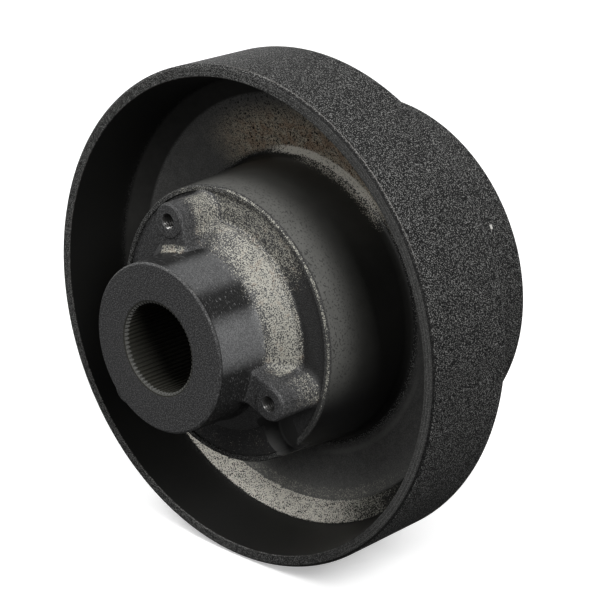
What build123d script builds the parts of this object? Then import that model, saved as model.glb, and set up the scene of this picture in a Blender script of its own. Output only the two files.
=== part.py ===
from build123d import *
import math
import os

# Jaw coupling with rubber blocks, in millimetres. The shaft axis is Y. The origin is the centre of the
# splined bore at the nose's front face: the nose points along -Y and the driven shaft leaves along +Y.
# An angle is measured about Y, from +X towards +Z. An outline lists (radius, y) points.

# Drum and skirt
DRUM_R = 125.0
RIM_BORE_R = 119.0
RIM_Y = 50.4
DRUM_REAR_Y = 103.3
RIM_CHAMFER = 1.5
REAR_EDGE_ROUND = 2.5
WALL_FOOT_R = 113.8
WALL_FOOT_Y = 84.8
BAND_FOOT_R = 103.8
BAND_FOOT_Y = 92.1
WEB_FOOT_Y = 98.4
SKIRT_R = 90.0
SKIRT_END_Y = 162.5
SKIRT_BORE_R = 78.0
SKIRT_CORNER_ROUND = 3.0
RING_RECESS_R = 83.0
RING_SEAT_Y = 155.5
FLOOR_Y = 113.0

# Hollow tower that holds the splined hub
TOWER_R = 68.6
TOWER_FOOT_R = 72.1
TOWER_FOOT_ROUND = 5.0
TOWER_BORE_R = 60.0
LIP_Y = 42.9
LIP_CHAMFER = 0.7
LIP_BORE_R = 66.0
SEAT_RING_R = 44.1
SEAT_Y = 55.9
SEAT_RING_THICK = 10.0

# Splined hub
NOSE_R = 41.4
NOSE_FOOT_R = 42.2
NOSE_CHAMFER = 0.9
FLARE_Y = 27.0
FLARE_ROUND = 14.0
COLLAR_R = 51.5
COLLAR_Y = 40.4
FLANGE_R = 65.9
FLANGE_Y = 43.9
FLANGE_CHAMFER = 0.8
SPIGOT_R = 44.0
SPIGOT_END_Y = 97.0
SPLINE_TEETH = 66
SPLINE_TIP_R = 21.8
SPLINE_ROOT_R = 22.8
SPLINE_TIP_SHARE = 0.33
SPLINE_ROOT_SHARE = 0.2
SPLINE_END_Y = 62.0
MOUTH_CHAMFER_R = 23.2
MOUTH_CHAMFER_DEG = 33.0
RELIEF_R = 24.0
BUSH_SEAT_Y = 74.0

# Tapped puller lugs on the splined hub, and its balance pocket
LUG_ANGLES = (101, 221, 341)
LUG_PCD_R = 56.6
LUG_R = 8.9
LUG_Y = 19.1
LUG_PAD_R = 8.0
LUG_PAD_Y = 18.5
LUG_HOLE_END_Y = 40.0
POCKET_ANGLE = 309.6
POCKET_PCD_R = 59.2
POCKET_R = 10.9
POCKET_END_Y = 54.0

# Jaws and rubber blocks. Four drive jaws point inwards, four driven jaws outwards between them.
JAW_ANGLES = (0, 90, 180, 270)
JAW_WIDTH_DEG = 30.0
JAW_RING_R = 77.95
JAW_TIP_R = 47.0
BASE_BORE_R = 52.0
BASE_END_Y = 120.0
LOBE_WIDTH_DEG = 24.0
LOBE_R = 75.5
LOBE_CHAMFER = 1.5
LOBE_Y = (120.5, 154.5)
CORE_R = 44.0
CORE_Y = (100.0, 156.0)
BOSS_R = 38.0
BOSS_END_Y = 178.0
PILOT_R = 27.95
PILOT_Y = 77.0
BORE_R = 19.0
KEYWAY_WIDTH = 10.0
KEYWAY_R = 22.3
KEYWAY_ANGLE = 90
EDGE_CHAMFER = 1.0
BLOCK_WIDTH_DEG = 17.4
BLOCK_R = (47.5, 77.0)
BLOCK_Y = (120.5, 155.0)
BLOCK_CHAMFER = 2.0

# Bush, washer and plug
BUSH_BORE_R = 28.0
BUSH_R = 32.0
BUSH_Y = (75.0, 97.0)
THRUST_WASHER_R = (28.4, 42.0)
PLUG_Y = (65.0, 72.0)

# Retaining ring
RETAINER_R = (62.0, 82.9)
RETAINER_END_Y = 161.5

# Screws: an M8 tapped hole has radius 3.4 and an M6 one 2.5
M8_TAP_R = 3.4
M8_HOLE_R = 4.5
M6_TAP_R = 2.5
M6_HOLE_R = 3.3
M8_HEAD_R = 6.5
M8_HEAD_HIGH = 8.0
M8_KEY_R = 3.46
M6_HEAD_R = 5.0
M6_HEAD_HIGH = 6.0
M6_KEY_R = 2.89
M8_WASHER_R = 6.9
M6_WASHER_R = 5.9
WASHER_THICK = 1.6
FLANGE_SCREW_ANGLES = (41, 101, 161, 221, 281, 341)
FLANGE_SCREW_R = 52.0
FLANGE_TAP_END_Y = 46.0
DOWEL_ANGLES = (11, 191)
DOWEL_PCD_R = 54.0
DOWEL_R = 4.0
DOWEL_Y = (49.5, 64.0)
JAW_SCREW_R = 68.0
JAW_TAP_END_Y = 99.8
JAW_COUNTERBORE_R = 7.2
JAW_COUNTERBORE_Y = 143.0
RETAINING_SCREW_R = 71.0
RETAINING_SCREW_OFFSET_DEG = 11.0
RETAINING_TAP_END_Y = 138.0
SET_SCREW_ANGLES = (90, 180)
SET_SCREW_Y = 167.0
SET_SCREW_SPAN = (23.0, 35.0)
SET_SCREW_KEY_R = 2.31
SET_SCREW_KEY_DEEP = 4.0

THROUGH = 400.0


def turned(outline, rounds=(), degrees=360.0):
    """Solid of revolution about Y of an outline of (radius, y) points, with some corners rounded."""
    face = make_face(Polyline(*outline, close=True))
    for corner, radius in rounds:
        nearest = face.vertices().sort_by_distance((corner[0], corner[1], 0))[0]
        face = fillet(nearest, radius)
    return revolve(face, Axis.Y, degrees)


def ring(inner, outer, y_from, y_to):
    """Plain ring, or a disc where inner is 0."""
    return turned([(inner, y_from), (outer, y_from), (outer, y_to), (inner, y_to)])


def turn(angle):
    """Rotation that takes +X to the given angle."""
    return Rot(0, -angle, 0)


def sector(radii, ys, centre, width):
    """Part of a ring between two radii and two y values, width degrees wide about a centre angle."""
    outline = [(radii[0], ys[0]), (radii[1], ys[0]), (radii[1], ys[1]), (radii[0], ys[1])]
    return turn(centre + width / 2) * turned(outline, degrees=width)


def rod(radius, y_from, y_to):
    """Cylinder along Y on the Y axis."""
    return ring(0, radius, y_from, y_to)


def at(shape, pitch_radius, angles):
    """Copies of a shape made on the Y axis, moved out to a pitch radius at each angle."""
    return [turn(angle) * Pos(pitch_radius, 0, 0) * shape for angle in angles]


def cut(body, shapes):
    for shape in shapes:
        body = body - shape
    return body


def cap_screw(seat_y, grip, length, thread_r, hole_r, head_r, head_high, key_r):
    """Socket head cap screw on the Y axis. Its head stands on seat_y, its shank points along -Y."""
    shank_r = hole_r - 0.5
    edge = 0.6
    outline = [
        (0, seat_y - length),
        (thread_r - edge, seat_y - length),
        (thread_r, seat_y - length + edge),
        (thread_r, seat_y - grip),
        (shank_r, seat_y - grip),
        (shank_r, seat_y),
        (head_r, seat_y),
        (head_r, seat_y + head_high - edge),
        (head_r - edge, seat_y + head_high),
        (0, seat_y + head_high),
    ]
    socket_plane = Plane((0, seat_y + head_high / 2, 0), z_dir=(0, 1, 0))
    socket = extrude(socket_plane * RegularPolygon(key_r, 6), head_high)
    return turned(outline) - socket


def spline_bore():
    """Bore with trapezoidal spaces between fine spline teeth."""
    pitch = 2 * math.pi / SPLINE_TEETH
    tip, root = SPLINE_TIP_SHARE, SPLINE_ROOT_SHARE
    corners = ((SPLINE_TIP_R, -tip), (SPLINE_ROOT_R, -root), (SPLINE_ROOT_R, root), (SPLINE_TIP_R, tip))
    points = []
    for tooth in range(SPLINE_TEETH):
        for radius, share in corners:
            angle = (tooth + share) * pitch
            points.append((radius * math.cos(angle), radius * math.sin(angle)))
    profile = make_face(Polyline(*points, close=True))
    return extrude(Plane((0, -1, 0), z_dir=(0, 1, 0)) * profile, SPLINE_END_Y + 1)


def balance_pocket():
    return at(rod(POCKET_R, LIP_Y - 20, POCKET_END_Y), POCKET_PCD_R, [POCKET_ANGLE])


def drum_casting():
    outline = [
        (RIM_BORE_R, RIM_Y),
        (DRUM_R - RIM_CHAMFER, RIM_Y),
        (DRUM_R, RIM_Y + RIM_CHAMFER),
        (DRUM_R, DRUM_REAR_Y),
        (SKIRT_R, DRUM_REAR_Y),
        (SKIRT_R, SKIRT_END_Y - EDGE_CHAMFER),
        (SKIRT_R - EDGE_CHAMFER, SKIRT_END_Y),
        (RING_RECESS_R, SKIRT_END_Y),
        (RING_RECESS_R, RING_SEAT_Y),
        (SKIRT_BORE_R, RING_SEAT_Y),
        (SKIRT_BORE_R, FLOOR_Y),
        (TOWER_BORE_R, FLOOR_Y),
        (TOWER_BORE_R, SEAT_Y + SEAT_RING_THICK),
        (SEAT_RING_R, SEAT_Y + SEAT_RING_THICK),
        (SEAT_RING_R, SEAT_Y),
        (LIP_BORE_R, SEAT_Y),
        (LIP_BORE_R, LIP_Y),
        (TOWER_R - LIP_CHAMFER, LIP_Y),
        (TOWER_R, LIP_Y + LIP_CHAMFER),
        (TOWER_FOOT_R, WEB_FOOT_Y),
        (BAND_FOOT_R, BAND_FOOT_Y),
        (WALL_FOOT_R, WALL_FOOT_Y),
    ]
    rounds = [
        ((DRUM_R, DRUM_REAR_Y), REAR_EDGE_ROUND),
        ((SKIRT_R, DRUM_REAR_Y), SKIRT_CORNER_ROUND),
        ((TOWER_BORE_R, SEAT_Y + SEAT_RING_THICK), 1.0),
        ((TOWER_FOOT_R, WEB_FOOT_Y), TOWER_FOOT_ROUND),
    ]
    seat_end = SEAT_Y + SEAT_RING_THICK
    body = turned(outline, rounds)
    body = cut(body, at(rod(M8_HOLE_R, SEAT_Y, seat_end), FLANGE_SCREW_R, FLANGE_SCREW_ANGLES))
    body = cut(body, at(rod(DOWEL_R, SEAT_Y, seat_end), DOWEL_PCD_R, DOWEL_ANGLES))
    body = cut(body, at(rod(M8_TAP_R, JAW_TAP_END_Y, FLOOR_Y), JAW_SCREW_R, JAW_ANGLES))
    return cut(body, balance_pocket())


def puller_lug():
    """U-shaped lug round one tapped hole, joined straight inwards to the nose, with a machined pad."""
    section = Circle(LUG_R) + Pos(-10, 0) * Rectangle(20, 2 * LUG_R)
    body = extrude(Plane((0, LUG_Y, 0), x_dir=(1, 0, 0), z_dir=(0, 1, 0)) * section, FLANGE_Y - LUG_Y + 1)
    return body + rod(LUG_PAD_R, LUG_PAD_Y, LUG_Y + 1)


def splined_hub():
    core_r = SPLINE_TIP_R - 6
    chamfer_end_y = (MOUTH_CHAMFER_R - core_r) * math.tan(math.radians(MOUTH_CHAMFER_DEG))
    outline = [
        (core_r, SPLINE_END_Y),
        (core_r, chamfer_end_y),
        (MOUTH_CHAMFER_R, 0),
        (NOSE_R - NOSE_CHAMFER, 0),
        (NOSE_R, NOSE_CHAMFER),
        (NOSE_FOOT_R, FLARE_Y),
        (COLLAR_R, COLLAR_Y),
        (COLLAR_R, FLANGE_Y),
        (FLANGE_R - FLANGE_CHAMFER, FLANGE_Y),
        (FLANGE_R, FLANGE_Y + FLANGE_CHAMFER),
        (FLANGE_R, SEAT_Y),
        (SPIGOT_R, SEAT_Y),
        (SPIGOT_R, SPIGOT_END_Y),
        (BUSH_R, SPIGOT_END_Y),
        (BUSH_R, BUSH_SEAT_Y),
        (RELIEF_R, BUSH_SEAT_Y),
        (RELIEF_R, SPLINE_END_Y),
    ]
    body = turned(outline, [((NOSE_FOOT_R, FLARE_Y), FLARE_ROUND)])
    for lug in at(puller_lug(), LUG_PCD_R, LUG_ANGLES):
        body = body + lug
    body = body - spline_bore()
    body = cut(body, at(rod(M8_TAP_R, LUG_PAD_Y - 1, LUG_HOLE_END_Y), LUG_PCD_R, LUG_ANGLES))
    body = cut(body, at(rod(M8_TAP_R, FLANGE_TAP_END_Y, SEAT_Y), FLANGE_SCREW_R, FLANGE_SCREW_ANGLES))
    body = cut(body, at(rod(DOWEL_R, DOWEL_Y[0], SEAT_Y), DOWEL_PCD_R, DOWEL_ANGLES))
    return cut(body, balance_pocket())


def hub_flange_screws():
    seat_y = SEAT_Y + SEAT_RING_THICK + WASHER_THICK
    screw = cap_screw(seat_y, seat_y - SEAT_Y, seat_y - FLANGE_TAP_END_Y - 1, M8_TAP_R, M8_HOLE_R,
                      M8_HEAD_R, M8_HEAD_HIGH, M8_KEY_R)
    return at(screw, FLANGE_SCREW_R, FLANGE_SCREW_ANGLES)


def hub_screw_washers():
    seat_y = SEAT_Y + SEAT_RING_THICK
    return at(ring(M8_HOLE_R, M8_WASHER_R, seat_y, seat_y + WASHER_THICK), FLANGE_SCREW_R, FLANGE_SCREW_ANGLES)


def hub_dowel_pins():
    return at(rod(DOWEL_R, *DOWEL_Y), DOWEL_PCD_R, DOWEL_ANGLES)


def retaining_screw_angles():
    return [jaw + side * RETAINING_SCREW_OFFSET_DEG for jaw in JAW_ANGLES for side in (-1, 1)]


def drive_jaw_ring():
    gap_width = 360 / len(JAW_ANGLES) - JAW_WIDTH_DEG
    gap_radii = (JAW_TIP_R - 1, JAW_RING_R + 1)
    body = ring(JAW_TIP_R, JAW_RING_R, FLOOR_Y, RING_SEAT_Y)
    gaps = [sector(gap_radii, (BASE_END_Y, RING_SEAT_Y + 1), angle + 45, gap_width) for angle in JAW_ANGLES]
    body = cut(body, gaps)
    body = body - rod(BASE_BORE_R, FLOOR_Y - 1, BASE_END_Y)
    body = cut(body, at(rod(M8_HOLE_R, FLOOR_Y, RING_SEAT_Y), JAW_SCREW_R, JAW_ANGLES))
    body = cut(body, at(rod(JAW_COUNTERBORE_R, JAW_COUNTERBORE_Y, RING_SEAT_Y), JAW_SCREW_R, JAW_ANGLES))
    tapped = rod(M6_TAP_R, RETAINING_TAP_END_Y, RING_SEAT_Y)
    return cut(body, at(tapped, RETAINING_SCREW_R, retaining_screw_angles()))


def jaw_ring_screws():
    seat_y = JAW_COUNTERBORE_Y + WASHER_THICK
    screw = cap_screw(seat_y, seat_y - FLOOR_Y, seat_y - JAW_TAP_END_Y - 1, M8_TAP_R, M8_HOLE_R,
                      M8_HEAD_R, M8_HEAD_HIGH, M8_KEY_R)
    return at(screw, JAW_SCREW_R, JAW_ANGLES)


def jaw_ring_washers():
    washer = ring(M8_HOLE_R, M8_WASHER_R, JAW_COUNTERBORE_Y, JAW_COUNTERBORE_Y + WASHER_THICK)
    return at(washer, JAW_SCREW_R, JAW_ANGLES)


def block_angles():
    """Middle of each gap between a drive jaw and the driven jaw next to it."""
    step = 360 / len(JAW_ANGLES)
    middle = (JAW_WIDTH_DEG / 2 + step / 2 - LOBE_WIDTH_DEG / 2) / 2
    return [jaw + offset for jaw in JAW_ANGLES for offset in (middle, step - middle)]


def cushion(angle):
    block = sector(BLOCK_R, BLOCK_Y, angle, BLOCK_WIDTH_DEG)
    return chamfer(block.edges(), BLOCK_CHAMFER)


def retaining_ring():
    body = ring(*RETAINER_R, RING_SEAT_Y, RETAINER_END_Y)
    body = chamfer(body.edges().group_by(Axis.Y)[-1], EDGE_CHAMFER)
    hole = rod(M6_HOLE_R, RING_SEAT_Y, RETAINER_END_Y)
    return cut(body, at(hole, RETAINING_SCREW_R, retaining_screw_angles()))


def retaining_washers():
    washer = ring(M6_HOLE_R, M6_WASHER_R, RETAINER_END_Y, RETAINER_END_Y + WASHER_THICK)
    return at(washer, RETAINING_SCREW_R, retaining_screw_angles())


def retaining_screws():
    seat_y = RETAINER_END_Y + WASHER_THICK
    screw = cap_screw(seat_y, seat_y - RING_SEAT_Y, seat_y - RETAINING_TAP_END_Y - 2, M6_TAP_R, M6_HOLE_R,
                      M6_HEAD_R, M6_HEAD_HIGH, M6_KEY_R)
    return at(screw, RETAINING_SCREW_R, retaining_screw_angles())


def driven_hub():
    outline = [
        (BORE_R + EDGE_CHAMFER, PILOT_Y),
        (PILOT_R - EDGE_CHAMFER, PILOT_Y),
        (PILOT_R, PILOT_Y + EDGE_CHAMFER),
        (PILOT_R, CORE_Y[0]),
        (CORE_R, CORE_Y[0]),
        (CORE_R, CORE_Y[1]),
        (BOSS_R, CORE_Y[1]),
        (BOSS_R, BOSS_END_Y - EDGE_CHAMFER),
        (BOSS_R - EDGE_CHAMFER, BOSS_END_Y),
        (BORE_R + EDGE_CHAMFER, BOSS_END_Y),
        (BORE_R, BOSS_END_Y - EDGE_CHAMFER),
        (BORE_R, PILOT_Y + EDGE_CHAMFER),
    ]
    body = turned(outline, [((CORE_R, CORE_Y[0]), 1.5), ((CORE_R, CORE_Y[1]), 1.5)])
    for angle in JAW_ANGLES:
        lobe = sector((CORE_R - 4, LOBE_R), LOBE_Y, angle + 45, LOBE_WIDTH_DEG)
        edges = [e for e in lobe.edges() if math.hypot(e.center().X, e.center().Z) > CORE_R + 5]
        body = body + chamfer(edges, LOBE_CHAMFER)
    keyway = turn(KEYWAY_ANGLE) * Pos(KEYWAY_R / 2, (PILOT_Y + BOSS_END_Y) / 2, 0) * Box(
        KEYWAY_R, THROUGH, KEYWAY_WIDTH)
    body = body - keyway
    for angle in SET_SCREW_ANGLES:
        body = body - set_screw_rod(angle, (0, BOSS_R + 5))
    return body


def set_screw_rod(angle, span):
    """Radial rod of an M8 set screw's thread radius in the driven hub's boss."""
    plane = Plane((span[0], SET_SCREW_Y, 0), x_dir=(0, 1, 0), z_dir=(1, 0, 0))
    return turn(angle) * extrude(plane * Circle(M8_TAP_R), span[1] - span[0])


def set_screws():
    socket_floor = SET_SCREW_SPAN[1] - SET_SCREW_KEY_DEEP
    socket_plane = Plane((socket_floor, SET_SCREW_Y, 0), x_dir=(0, 1, 0), z_dir=(1, 0, 0))
    socket = extrude(socket_plane * RegularPolygon(SET_SCREW_KEY_R, 6), 2 * SET_SCREW_KEY_DEEP)
    return [set_screw_rod(angle, SET_SCREW_SPAN) - turn(angle) * socket for angle in SET_SCREW_ANGLES]


def write(name, shape):
    """One STEP for a node: a single solid, or a group of separate ones."""
    solids = shape if isinstance(shape, list) else [shape]
    solids = [solid for part in solids for solid in part.solids()]
    export_step(solids[0] if len(solids) == 1 else Compound(solids), f"parts/{name}.step")


os.makedirs("parts", exist_ok=True)
write("drum_casting", drum_casting())
write("splined_hub", splined_hub())
write("hub_flange_screws", hub_flange_screws())
write("hub_screw_washers", hub_screw_washers())
write("hub_dowel_pins", hub_dowel_pins())
write("drive_jaw_ring", drive_jaw_ring())
write("jaw_ring_screws", jaw_ring_screws())
write("jaw_ring_washers", jaw_ring_washers())
for number, block_angle in enumerate(block_angles(), start=1):
    write(f"cushion_{number}", cushion(block_angle))
write("retaining_ring", retaining_ring())
write("retaining_screws", retaining_screws())
write("retaining_washers", retaining_washers())
write("pilot_bush", ring(BUSH_BORE_R, BUSH_R, *BUSH_Y))
write("thrust_washer", ring(*THRUST_WASHER_R, SPIGOT_END_Y, CORE_Y[0]))
write("bore_end_plug", rod(RELIEF_R, *PLUG_Y))
write("driven_hub", driven_hub())
write("set_screws", set_screws())
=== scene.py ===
import math

import bmesh
import bpy
import numpy as np
from mathutils import Matrix, Vector


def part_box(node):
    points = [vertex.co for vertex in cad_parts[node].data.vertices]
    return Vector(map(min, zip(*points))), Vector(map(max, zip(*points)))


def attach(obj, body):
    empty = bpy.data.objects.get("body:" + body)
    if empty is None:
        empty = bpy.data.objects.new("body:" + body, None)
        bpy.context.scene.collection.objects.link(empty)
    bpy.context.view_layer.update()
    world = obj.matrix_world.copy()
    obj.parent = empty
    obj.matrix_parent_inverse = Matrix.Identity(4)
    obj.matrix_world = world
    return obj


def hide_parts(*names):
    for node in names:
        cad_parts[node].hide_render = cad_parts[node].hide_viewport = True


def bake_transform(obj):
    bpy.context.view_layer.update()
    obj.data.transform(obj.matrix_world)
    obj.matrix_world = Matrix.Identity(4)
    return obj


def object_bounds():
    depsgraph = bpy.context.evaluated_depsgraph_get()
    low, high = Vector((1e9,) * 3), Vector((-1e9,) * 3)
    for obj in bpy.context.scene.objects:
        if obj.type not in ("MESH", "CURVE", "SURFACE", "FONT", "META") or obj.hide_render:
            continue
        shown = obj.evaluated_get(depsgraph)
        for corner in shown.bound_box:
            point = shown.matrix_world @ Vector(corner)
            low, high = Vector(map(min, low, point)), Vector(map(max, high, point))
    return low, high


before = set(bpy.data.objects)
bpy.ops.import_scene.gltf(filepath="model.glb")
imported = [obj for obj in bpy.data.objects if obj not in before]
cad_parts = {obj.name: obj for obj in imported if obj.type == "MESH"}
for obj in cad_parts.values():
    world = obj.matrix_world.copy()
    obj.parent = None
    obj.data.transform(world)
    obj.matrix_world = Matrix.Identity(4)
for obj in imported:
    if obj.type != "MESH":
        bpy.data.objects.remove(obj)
CAD_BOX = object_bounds()

# Lengths are in millimetres until a mesh is made. The shaft axis is Y, an angle is measured about it
# from +X towards +Z, and an outline lists (radius, y, round) points, round being the corner's radius.
MM = 0.001
TURN_STEPS = 384
HUB_STEPS = 240

# Drum casting, from the CAD boxes where a box gives the size
drum_low, drum_high = (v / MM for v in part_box("drum_casting"))
DRUM_R = round(drum_high.x, 1)
LIP_Y = round(drum_low.y, 1)
SKIRT_END_Y = round(drum_high.y, 1)
RIM_Y = 50.4
RIM_BORE_R = 119.0
DRUM_REAR_Y = 103.3
SKIRT_R = 90.0
SKIRT_BORE_R = 78.0
RING_RECESS_R = 83.0
RING_SEAT_Y = 155.5
FLOOR_Y = 113.0
TOWER_R = 68.6
TOWER_FOOT_R = 72.1
TOWER_BORE_R = 60.0
LIP_BORE_R = 66.0
SEAT_RING_R = 44.1
SEAT_Y = 55.9
SEAT_END_Y = 65.9
WALL_FOOT = (113.8, 84.8)
BAND_FOOT = (103.8, 92.1)
WEB_FOOT_Y = 98.4
RIM_SCRATCH_RADII = (120.9, 122.5)
CHIP_ANGLE = 28
CHIP_Y = 147.5

# Splined hub
NOSE_R = 41.4
FLARE_FOOT = (42.2, 27.0)
COLLAR_R = 51.5
COLLAR_Y = 40.4
FLANGE_R = 65.9
FLANGE_Y = 43.9
SPIGOT_R = 44.0
SPIGOT_END_Y = round(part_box("splined_hub")[1].y / MM, 1)
RELIEF_R = 24.0
BUSH_SEAT_R = 32.0
BUSH_SEAT_Y = 74.0
SPLINE_TEETH = 66
SPLINE_TIP_R = 21.8
SPLINE_ROOT_R = 22.8
SPLINE_END_Y = 62.0
MOUTH_R = 23.2
LUG_ANGLES = (101, 221, 341)
LUG_PCD_R = 56.6
LUG_R = 8.9
LUG_Y = 19.1
PAD_R = 8.0
PAD_Y = 18.5
LUG_HOLE_END_Y = 40.0
LUG_FILLET = 3.6
LUG_BRIDGE = 22.0
HUB_CELL = 0.66
POCKET_ANGLE = 309.6
POCKET_PCD_R = 59.2
POCKET_R = 10.9
POCKET_END_Y = 54.0

# Threads as root radius, crest radius and pitch; screw heads as radius, height and key radius
M8_ROOT_R = 3.35
M8_CREST_R = 3.95
M8 = (M8_ROOT_R, M8_CREST_R, 1.25)
M6 = (2.5, 2.95, 1.0)
M8_HEAD = (6.5, 8.0, 3.46)
M6_HEAD = (5.0, 6.0, 2.89)
M8_HOLE_R = 4.5
M6_HOLE_R = 3.3
M8_TAP_R = 3.4
M8_TIP_GAP = 1.0
M6_TIP_GAP = 2.0
WASHER_THICK = 1.6

# Screws and dowels
FLANGE_SCREW_R = 52.0
FLANGE_SCREW_ANGLES = range(41, 401, 60)
FLANGE_TAP_END_Y = 46.0
DOWEL_PCD_R = 54.0
DOWEL_R = 4.0
DOWEL_HOLE_Y = 49.5
DOWEL_ANGLES = (11, 191)
JAW_ANGLES = (0, 90, 180, 270)
JAW_SCREW_R = 68.0
JAW_COUNTERBORE_Y = 143.0
JAW_TAP_END_Y = 99.8
RETAINING_SCREW_R = 71.0
RETAINING_SCREW_OFFSET = 11
RETAINING_TAP_END_Y = 138.0
RETAINER_END_Y = 161.5


# Mesh making

def new_object(name, verts, faces):
    """Object of a mesh given in millimetres, its faces turned outwards."""
    mesh = bpy.data.meshes.new(name)
    mesh.from_pydata([tuple(v) for v in np.asarray(verts, float) * MM], [], faces)
    made = bpy.data.objects.new(name, mesh)
    bpy.context.scene.collection.objects.link(made)
    clean(made)
    return made


def clean(made, gap=0.002):
    """Merges the points that coincide, drops what has no area and turns the faces outwards."""
    bm = bmesh.new()
    bm.from_mesh(made.data)
    bmesh.ops.remove_doubles(bm, verts=bm.verts, dist=gap * MM)
    bmesh.ops.dissolve_degenerate(bm, edges=bm.edges, dist=gap * MM * 0.5)
    bmesh.ops.recalc_face_normals(bm, faces=bm.faces)
    bm.to_mesh(made.data)
    bm.free()


def rounded(outline, fineness=0.35):
    """Points of an outline whose corners with a third value are replaced by arcs of that radius."""
    points = []
    count = len(outline)
    for index, corner in enumerate(outline):
        here = np.array(corner[:2], float)
        radius = corner[2] if len(corner) > 2 else 0
        before = np.array(outline[index - 1][:2], float) - here
        after = np.array(outline[(index + 1) % count][:2], float) - here
        before /= np.linalg.norm(before)
        after /= np.linalg.norm(after)
        half = math.acos(np.clip(before @ after, -1, 1)) / 2
        if not radius or half > 1.55:
            points.append(here)
            continue
        middle = before + after
        centre = here + middle / np.linalg.norm(middle) * radius / math.sin(half)
        reach = radius / math.tan(half)
        first = here + before * reach - centre
        last = here + after * reach - centre
        sweep = math.pi - 2 * half
        steps = max(3, int(radius * sweep / fineness) + 1)
        for step in range(steps + 1):
            share = step / steps
            blend = first * math.sin((1 - share) * sweep) + last * math.sin(share * sweep)
            points.append(centre + blend / math.sin(sweep))
    return points


def lathe(name, outline, steps=TURN_STEPS, spacing=0):
    """Closed outline turned about Y. Long runs are divided so that no span is over spacing."""
    points = rounded(outline)
    if spacing:
        divided = []
        for index, point in enumerate(points):
            ahead = points[(index + 1) % len(points)]
            parts = max(1, round(np.linalg.norm(ahead - point) / spacing))
            divided += [point + (ahead - point) * part / parts for part in range(parts)]
        points = divided
    turn = np.linspace(0, 2 * math.pi, steps, endpoint=False)
    verts = [(r * math.cos(a), y, r * math.sin(a)) for a in turn for r, y in points]
    count = len(points)
    faces = []
    for step in range(steps):
        here, ahead = step * count, (step + 1) % steps * count
        for index in range(count):
            follow = (index + 1) % count
            faces.append((here + index, here + follow, ahead + follow, ahead + index))
    return new_object(name, verts, faces)


def placed(made, radius, angle):
    """Moves a mesh made on the Y axis out to a radius at an angle."""
    outwards = Matrix.Translation((radius * MM, 0, 0))
    made.data.transform(Matrix.Rotation(-math.radians(angle), 4, "Y") @ outwards)
    return made


def rod(radius, y_from, y_to, pitch_r=0, angle=0, steps=64):
    outline = [(0, y_from), (radius, y_from), (radius, y_to), (0, y_to)]
    return placed(lathe("rod", outline, steps), pitch_r, angle)


def threaded_rod(thread, y_from, y_to, pitch_r=0, angle=0, steps=40, rows=6):
    """Rod with a V thread between its root and crest radii, run out to the root at both ends."""
    root, crest, pitch = thread
    levels = np.arange(y_from, y_to, pitch / rows)
    verts, faces = [(0, y_from, 0)], []
    for y in levels:
        for step in range(steps):
            share = (y / pitch - step / steps) % 1
            swell = 1 - abs(2 * share - 1)
            ends = min(1, (y - y_from) / pitch, (levels[-1] - y) / pitch)
            radius = root + (crest - root) * min(swell * 1.15, 1) * max(ends, 0)
            turn = 2 * math.pi * step / steps
            verts.append((radius * math.cos(turn), y, radius * math.sin(turn)))
    verts.append((0, levels[-1], 0))
    for step in range(steps):
        ahead = (step + 1) % steps
        faces.append((0, 1 + step, 1 + ahead))
        for row in range(len(levels) - 1):
            base = 1 + row * steps
            faces.append((base + step, base + steps + step, base + steps + ahead, base + ahead))
        base = 1 + (len(levels) - 1) * steps
        faces.append((base + step, len(verts) - 1, base + ahead))
    return placed(new_object("thread", verts, faces), pitch_r, angle)


def join(parts, name):
    """One object of several meshes."""
    bm = bmesh.new()
    for part in parts:
        bm.from_mesh(part.data)
        bpy.data.objects.remove(part)
    mesh = bpy.data.meshes.new(name)
    bm.to_mesh(mesh)
    bm.free()
    made = bpy.data.objects.new(name, mesh)
    bpy.context.scene.collection.objects.link(made)
    return made


def apply_modifiers(made):
    """Puts the modifiers' result into the mesh."""
    bpy.context.view_layer.update()
    graph = bpy.context.evaluated_depsgraph_get()
    mesh = bpy.data.meshes.new_from_object(made.evaluated_get(graph))
    made.modifiers.clear()
    made.data = mesh
    return made


def combine(made, other, operation):
    """Solid difference, union or intersection, after which the other solid is gone."""
    modifier = made.modifiers.new("solid", "BOOLEAN")
    modifier.operation = operation
    modifier.object = other
    modifier.solver = "MANIFOLD"
    apply_modifiers(made)
    bpy.data.objects.remove(other)
    return made


def carve(made, cutters):
    for cutter in cutters:
        combine(made, cutter, "DIFFERENCE")
    return made


def finish_mesh(made, sharp=35):
    """Smooth shading that keeps the edges above an angle sharp."""
    made.data.shade_smooth()
    made.data.set_sharp_from_angle(angle=math.radians(sharp))
    modifier = made.modifiers.new("even normals", "WEIGHTED_NORMAL")
    modifier.keep_sharp = True
    return made


# Node materials

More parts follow.
